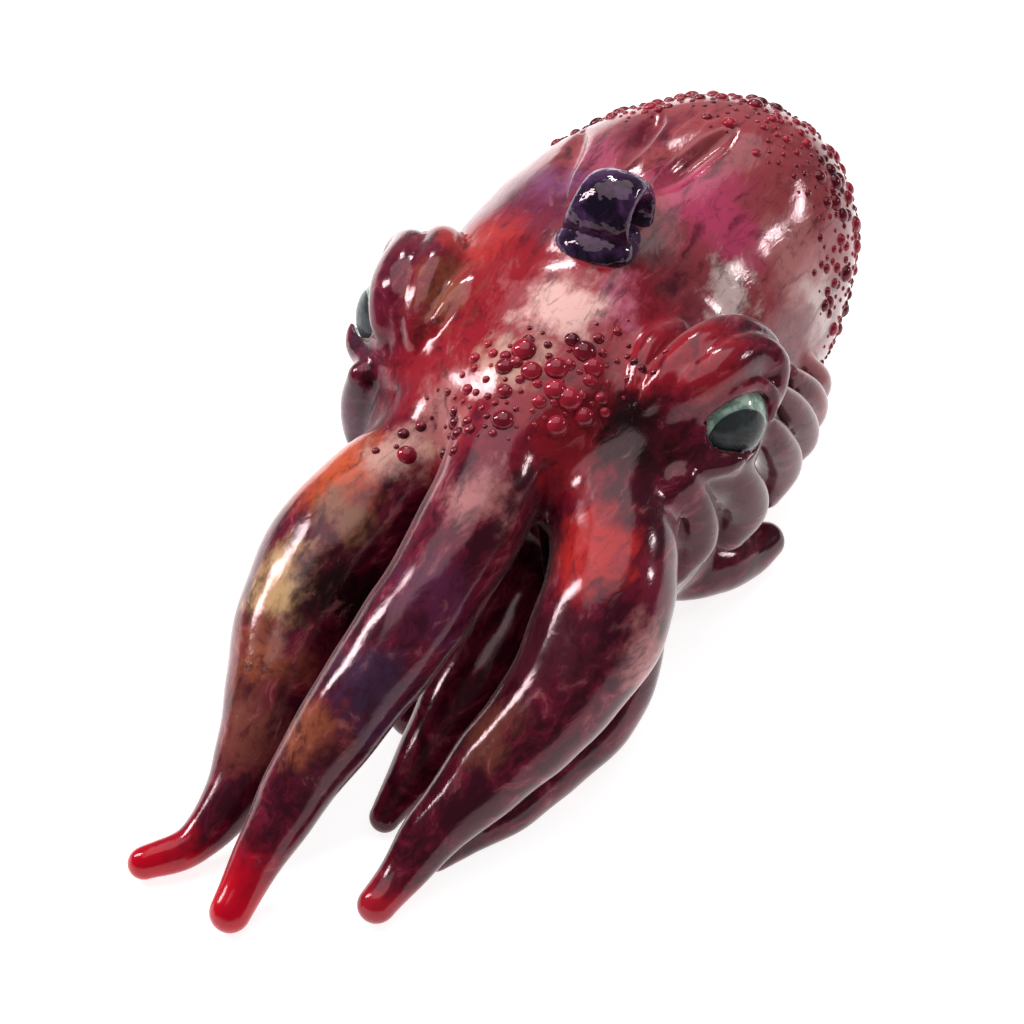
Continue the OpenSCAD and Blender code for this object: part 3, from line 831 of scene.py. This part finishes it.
place, shader, celadon = glass("celadon", **{"Roughness": 0.05})
veil = place.noise(0.9, 4.0, 0.6, 0.4)
feed(shader, "Base Color", blended(veil.between(0.35, 0.65), (0.14, 0.26, 0.21), (0.50, 0.66, 0.54)))
place, shader, night = glass("blue-black", **{"Roughness": 0.05, "Specular IOR Level": 0.15})
veil = place.noise(0.5, 4.0, 0.6, 0.4)
feed(shader, "Base Color", blended(veil.between(0.45, 0.75), (0.002, 0.004, 0.006), (0.020, 0.050, 0.060)))
place, shader, clear = glass("clear", **{"Base Color": (0.9, 0.95, 0.95, 1), "Roughness": 0.02,
                                         "Specular IOR Level": 0.3})
# Painted reflection: the cap's pale colour shows more towards its edges as the view turns, drawing a pale rim
# round the eye.
feed(shader, "Alpha", (rim(place) ** 4.0) * 0.20 + 0.02)
for side, sign in (("left", -1), ("right", 1)):
    centre = (sign * EYE[0], EYE[1], EYE[2])
    way = Vector((sign * PUPIL_WAY.x, PUPIL_WAY.y, PUPIL_WAY.z))
    ball = dome(EYE_CORE_R, 0.0, 180)[:25] + [(-EYE_CORE_R, 0.0)]
    for part, outline, colour, slot in (
            ("_eye_core", ball, celadon, "eye_glass"),
            ("_pupil", dome(PUPIL_OUT, PUPIL_IN, 47), night, "pupil_glass"),
            ("_eye_cap", dome(CAP_OUT, CAP_IN, 82), clear, "clear_glass")):
        finish(turned_piece("glass_" + side + part, outline, centre, way), colour, side + part)


# ---------------------------------------------------------------- raised dots
# Beads of garnet glass are touched on from a thin stringer, crowded on the forehead and the roots of
# the arms, and all round the mantle's far end. The flame melts each one down to a low dome.
def dot_tree():
    tree = bpy.data.node_groups.new("dots", "GeometryNodeTree")
    face = tree.interface
    face.new_socket("Geometry", in_out="INPUT", socket_type="NodeSocketGeometry")
    for label, kind in (("Spacing", "Float"), ("Smallest", "Float"), ("Largest", "Float"), ("Sunk", "Float"),
                        ("Seed", "Int"), ("Glass", "Material")):
        face.new_socket(label, in_out="INPUT", socket_type="NodeSocket" + kind)
    face.new_socket("Geometry", in_out="OUTPUT", socket_type="NodeSocketGeometry")
    given = tree.nodes.new("NodeGroupInput")
    start = {socket.name: Sock(tree, socket) for socket in given.outputs}
    ground = start["Geometry"]
    crowd = ground.node("GeometryNodeInputNamedAttribute", {"data_type": "FLOAT"}, {"Name": "crowd"})
    scatter = tree.nodes.new("GeometryNodeDistributePointsOnFaces")
    scatter.distribute_method = "POISSON"
    for label, socket in (("Mesh", ground), ("Distance Min", start["Spacing"]), ("Density Factor", crowd),
                          ("Seed", start["Seed"])):
        tree.links.new(socket.out, scatter.inputs[label])
    scatter.inputs["Density Max"].default_value = 2.0e6
    points, turn = Sock(tree, scatter.outputs["Points"]), Sock(tree, scatter.outputs["Rotation"])
    chance = ground.node("FunctionNodeRandomValue", {"data_type": "FLOAT"}, {2: 0.0, 3: 1.0, 8: 5}, out=1)
    size = start["Smallest"] + (start["Largest"] - start["Smallest"]) * chance ** 3.0
    size = size * (crowd * 0.4 + 0.6)
    low_dome = ground.node("GeometryNodeMeshUVSphere", {}, {"Segments": 14, "Rings": 8, "Radius": 1.0})
    low_dome = ground.node("GeometryNodeTransform", {}, {"Geometry": low_dome, "Scale": (1.0, 1.0, 0.75)})
    low_dome = ground.node("GeometryNodeSetShadeSmooth", {}, {"Geometry": low_dome})
    sunk = ground.node("GeometryNodeTransform", {}, {"Geometry": low_dome, "Translation": (0, 0, -0.10)})
    placed = ground.node("GeometryNodeInstanceOnPoints", {},
                         {"Points": points, "Instance": sunk, "Rotation": turn, "Scale": size})
    real = ground.node("GeometryNodeRealizeInstances", {}, {"Geometry": placed})
    done = ground.node("GeometryNodeSetMaterial", {}, {"Geometry": real, "Material": start["Glass"]})
    end = tree.nodes.new("NodeGroupOutput")
    tree.links.new(done.out, end.inputs["Geometry"])
    return tree


place, shader, garnet = glass("garnet", **{"Roughness": 0.06})
tone = place.noise(0.16, 3.0, 0.6)
colour = blended(tone.between(0.35, 0.65), (0.070, 0.003, 0.010), (0.340, 0.014, 0.032))
# Painted reflection: the dots are tinted paler rose towards their edges as the view turns.
feed(shader, "Base Color", colour.tint((rim(place) ** 4.0) * 0.2, (0.50, 0.16, 0.18)))
dots = dot_tree()
forehead = Rod([(-9.5, -12.0, 29, 3.5), (-5, -9.5, 32.5, 6.5), (0, -6.0, 35.5, 8.0), (5, -2.5, 36.5, 8.0),
                (9.0, 3.0, 37, 6.0), (11, 7.0, 36, 3.0)])


def dotted(name, crowd, values, node):
    """Dots on the part of the skin where crowd is above nothing."""
    weight = crowd(verts)
    keep = (weight[quads] > 0).all(1)
    used, faces = np.unique(quads[keep], return_inverse=True)
    mesh = bpy.data.meshes.new(name)
    mesh.from_pydata((verts[used] * MM).tolist(), [], faces.reshape(-1, 4).tolist())
    mesh.attributes.new("crowd", "FLOAT", "POINT").data.foreach_set("value", weight[used].astype(np.float32))
    ground = bpy.data.objects.new(name, mesh)
    bpy.context.scene.collection.objects.link(ground)
    grow = ground.modifiers.new("dots", "NODES")
    grow.node_group = dots
    for item in dots.interface.items_tree:
        if item.in_out == "INPUT" and item.name in values:
            grow[item.identifier] = values[item.name]
    seen = bpy.context.evaluated_depsgraph_get()
    ground.update_tag()
    bpy.context.view_layer.update()
    plain = bpy.data.meshes.new_from_object(ground.evaluated_get(seen))
    ground.modifiers.clear()
    points = np.empty(3 * len(plain.vertices))
    plain.vertices.foreach_get("co", points)
    points = np.clip(points.reshape(-1, 3), np.multiply(BOX_LOW, MM), np.multiply(BOX_HIGH, MM))
    plain.vertices.foreach_set("co", points.ravel())
    ground.data = plain
    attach(ground, "root")
    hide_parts(node)


def forehead_crowd(P):
    return np.clip(-forehead(P) / 3.0, 0, 1) * (P[:, 2] > 26)


def mantle_crowd(P):
    x, y, z = P.T
    past_edge = y - 41.5 + 0.25 * np.abs(x) + 1.5 * np.sin(0.7 * x)
    return np.clip(past_edge / 5.0, 0, 1) * (z > 13)


dotted("glass_forehead_dots", forehead_crowd,
       {"Spacing": 0.0013, "Smallest": 0.0003, "Largest": 0.0015, "Seed": 3, "Glass": garnet},
       "forehead_dots_patch")
dotted("glass_mantle_dots", mantle_crowd,
       {"Spacing": 0.0012, "Smallest": 0.0003, "Largest": 0.0011, "Seed": 8, "Glass": garnet},
       "mantle_dots_band")


# ---------------------------------------------------------------- studio
# The ornament lies on a sheet of white paper and is looked at from its front right and above. Three
# narrow softboxes draw the white lines on the glass, and a wide dim one hangs overhead.
TARGET = Vector((0.412, -4.446, 16.592)) * MM
AZIMUTH, ELEVATION = np.radians(27), np.radians(40)
CAMERA_DISTANCE, LENS = 0.4177, 131.4
level = np.cos(ELEVATION)
toward = Vector((np.sin(AZIMUTH) * level, -np.cos(AZIMUTH) * level, np.sin(ELEVATION)))
camera = bpy.data.objects.new("camera", bpy.data.cameras.new("camera"))
bpy.context.scene.collection.objects.link(camera)
camera.location = TARGET + toward * CAMERA_DISTANCE
camera.rotation_euler = toward.to_track_quat("Z", "Y").to_euler()
camera.data.lens = LENS
camera.data.clip_start = 0.01
bpy.context.scene.camera = camera

SHEET = 3.0
floor_mesh = bpy.data.meshes.new("floor")
floor_mesh.from_pydata([(-SHEET, -SHEET, 0), (SHEET, -SHEET, 0), (SHEET, SHEET, 0), (-SHEET, SHEET, 0)],
                       [], [(0, 1, 2, 3)])
floor = bpy.data.objects.new("floor", floor_mesh)
bpy.context.scene.collection.objects.link(floor)
paper = bpy.data.materials.new("white paper")
paper.use_nodes = True
for key, value in {"Base Color": (0.55, 0.55, 0.55, 1), "Roughness": 0.9, "Emission Color": (1, 1, 1, 1),
                   "Emission Strength": 0.86}.items():
    paper.node_tree.nodes["Principled BSDF"].inputs[key].default_value = value
floor_mesh.materials.append(paper)


def softbox(name, direction, distance, width, height, power):
    light = bpy.data.objects.new(name, bpy.data.lights.new(name, "AREA"))
    light.data.shape, light.data.size, light.data.size_y = "RECTANGLE", width, height
    light.data.energy = power
    direction = Vector(direction).normalized()
    light.location = Vector((0, 0, 0.02)) + direction * distance
    light.rotation_euler = direction.to_track_quat("Z", "Y").to_euler()
    bpy.context.scene.collection.objects.link(light)


softbox("back softbox", (-0.36, 0.66, 0.66), 0.8, 0.10, 0.045, 0.9)
softbox("left softbox", (-0.78, -0.10, 0.62), 0.7, 0.12, 0.34, 4)
softbox("right softbox", (0.70, 0.60, 0.39), 0.8, 0.10, 0.06, 0.9)
softbox("top softbox", (-0.12, 0.22, 0.97), 0.9, 1.0, 1.0, 6)
world = bpy.data.worlds.new("studio")
world.use_nodes = True
sky = world.node_tree.nodes["Background"]
sky.inputs["Color"].default_value, sky.inputs["Strength"].default_value = (1, 1, 1, 1), 0.12
bpy.context.scene.world = world
bpy.context.scene.view_settings.view_transform = "Standard"
